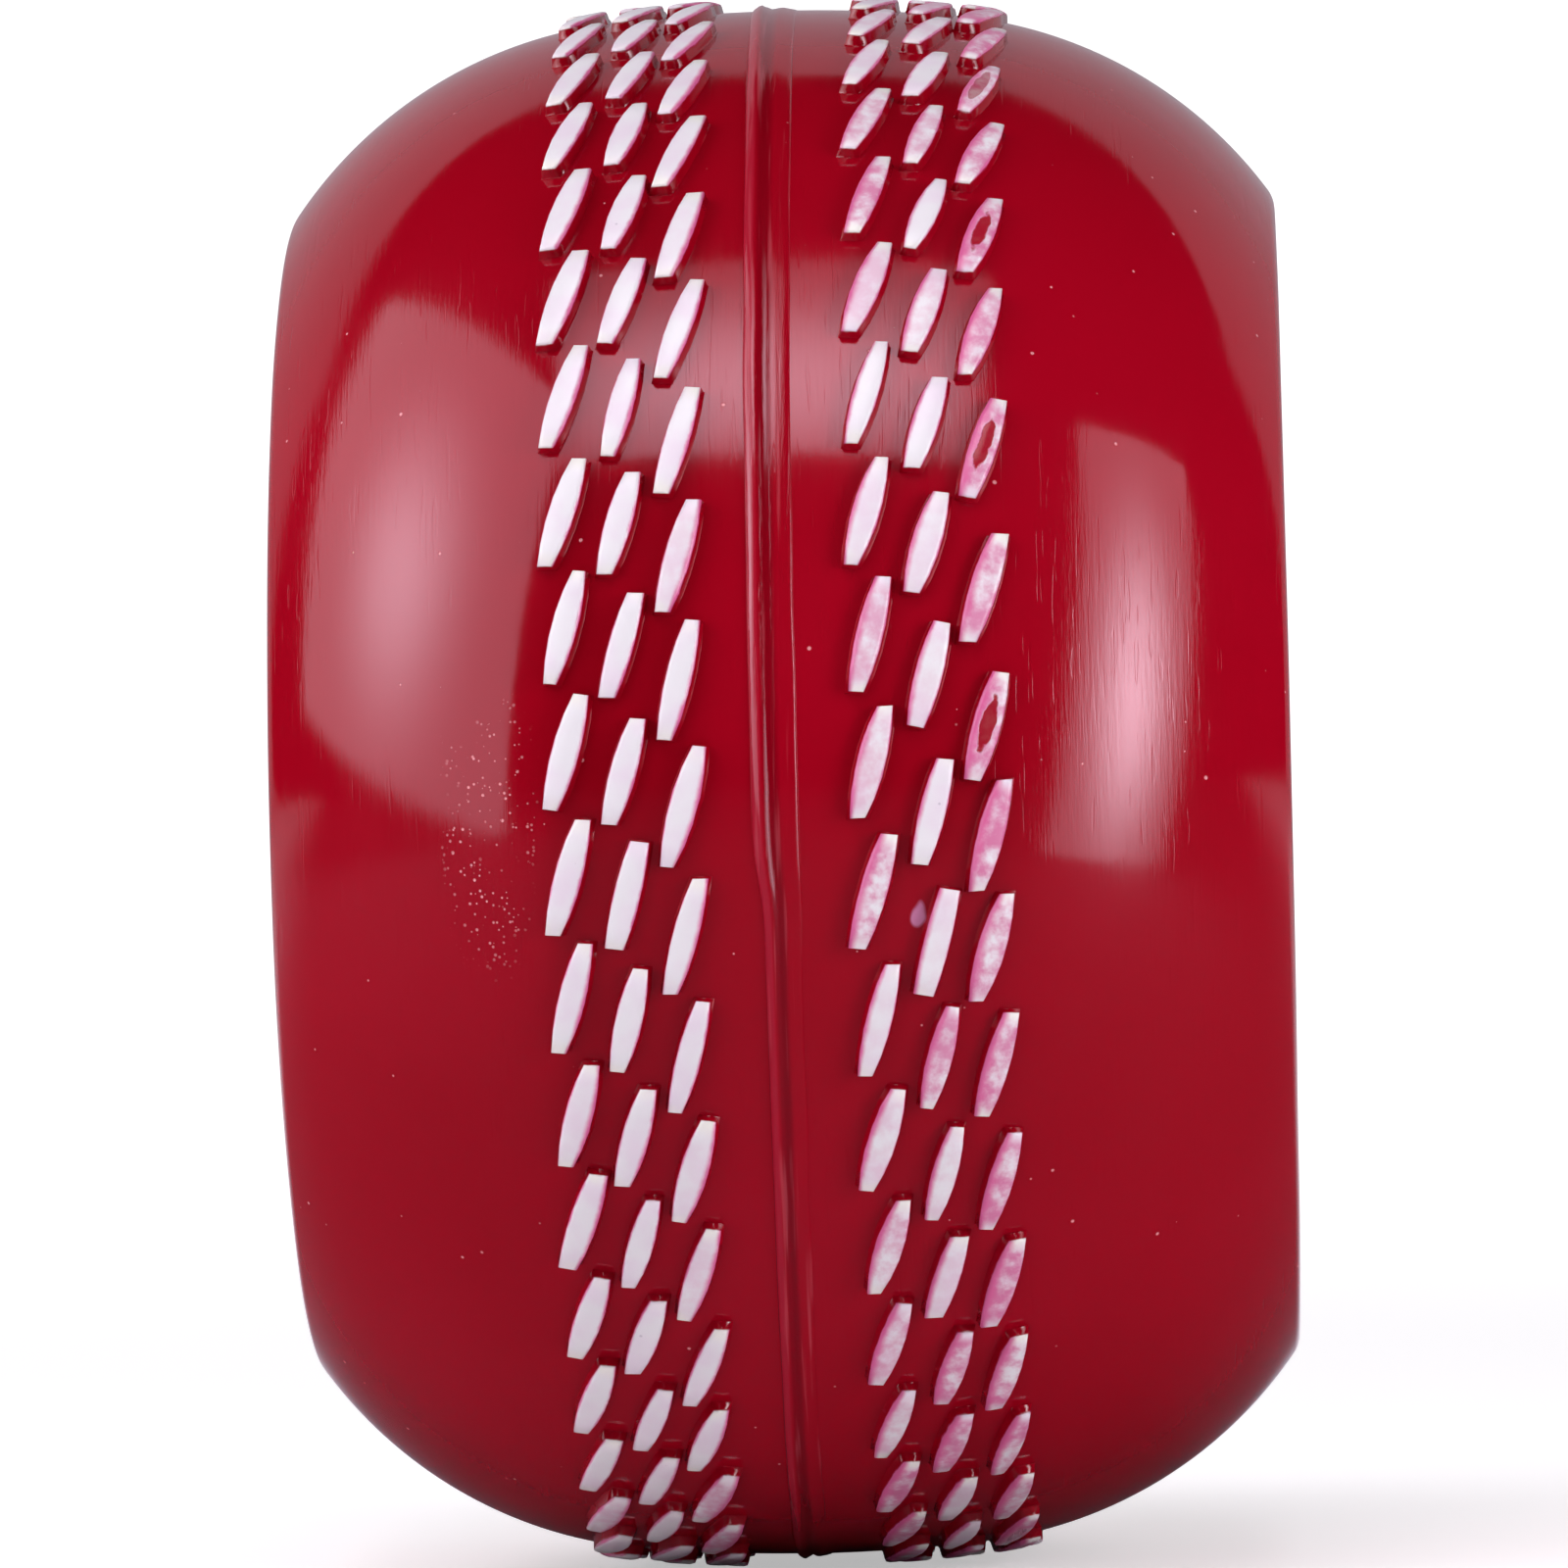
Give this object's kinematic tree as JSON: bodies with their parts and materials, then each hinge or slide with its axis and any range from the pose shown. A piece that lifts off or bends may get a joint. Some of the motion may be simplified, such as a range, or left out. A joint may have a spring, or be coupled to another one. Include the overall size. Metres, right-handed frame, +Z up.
{
  "type": "side-cut cricket training ball",
  "caption": "Barrel-shaped cricket training ball with two flat sides, a welded seam and bands of raised painted stitches.",
  "frame": {"origin": "centre of the ball", "axes": "+X along the ball's axis, from the left flat side to the right flat side; +Z up, with the ball standing on its crown"},
  "size_m": [0.0456, 0.073, 0.073],
  "materials": {
    "core_composite": "matte cork-and-rubber composite",
    "shell_red": "glossy moulded vinyl with fine scratches",
    "seam_red": "glossy welded vinyl, trimmed by hand",
    "stitch_white": "satin white paint, worn at the edges"
  },
  "bodies": {
    "root": {"core": "core_composite", "right_half_shell": "shell_red", "left_half_shell": "shell_red", "seam_bead": "seam_red", "right_inner_stitch_paint": "stitch_white", "left_inner_stitch_paint": "stitch_white", "right_middle_stitch_paint": "stitch_white", "left_middle_stitch_paint": "stitch_white", "right_outer_stitch_paint": "stitch_white", "left_outer_stitch_paint": "stitch_white"}
  },
  "joints": []
}
